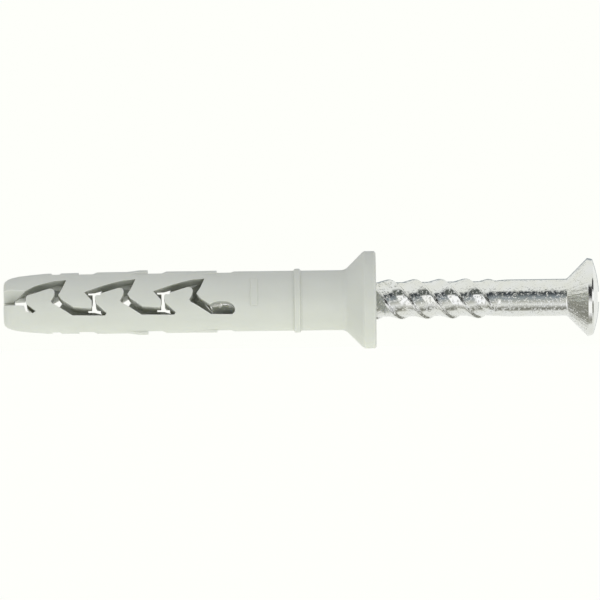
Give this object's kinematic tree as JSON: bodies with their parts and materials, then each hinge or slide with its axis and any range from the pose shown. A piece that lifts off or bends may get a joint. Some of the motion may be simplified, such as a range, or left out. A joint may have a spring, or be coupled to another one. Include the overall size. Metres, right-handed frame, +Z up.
{
  "type": "hammer-set frame plug with drive screw",
  "caption": "Nylon frame plug with a flared countersunk collar, a hooked zigzag expansion slot and a coarse-thread drive screw started in it.",
  "frame": {"origin": "on the common axis, where the plug's straight neck runs into the flare of the collar", "axes": "+X along the axis from the nose to the screw head, -Y towards the slot that the picture shows, +Z up"},
  "size_m": [0.0595, 0.0098, 0.0098],
  "materials": {
    "nylon": "satin, as moulded",
    "zinc_steel": "bright zinc plated, as rolled"
  },
  "bodies": {
    "root": {"plug_sleeve": "nylon", "drive_screw": "zinc_steel"}
  },
  "joints": []
}
